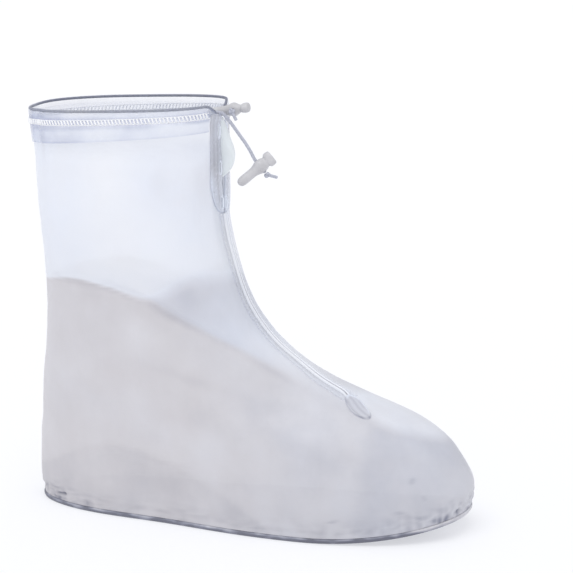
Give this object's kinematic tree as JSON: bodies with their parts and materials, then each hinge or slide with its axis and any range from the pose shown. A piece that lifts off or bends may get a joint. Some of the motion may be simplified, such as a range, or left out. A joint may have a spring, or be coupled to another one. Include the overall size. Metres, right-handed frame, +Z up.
{
  "type": "shoe cover",
  "caption": "High waterproof shoe cover of clear film for the right foot, with a welded sole, a front slit and gusset, slotted strips, a stitched hem and a drawcord with toggles.",
  "frame": {"origin": "on the floor, under the middle of the boot without its free cord", "axes": "+X towards the toe, +Y towards the inner side of the foot, +Z up"},
  "size_m": [0.303, 0.1106, 0.2724],
  "materials": {
    "film": "clear, smooth, slightly bluish",
    "sole_film": "clear, thicker, lightly frosted",
    "strip_film": "clear, thicker, smooth",
    "cord": "light grey braided elastic",
    "moulded": "light grey, satin"
  },
  "bodies": {
    "root": {"cover_body": "film", "sole": "sole_film", "top_hem": "film", "strip_outer": "strip_film", "strip_inner": "strip_film", "binding_outer": "film", "binding_inner": "film", "end_patch": "film", "gusset": "film", "hem_cord": "cord", "toggle_upper": "moulded", "knot_upper": "cord", "draw_cord": "cord", "toggle_lower": "moulded", "knot_lower": "cord"}
  },
  "joints": []
}
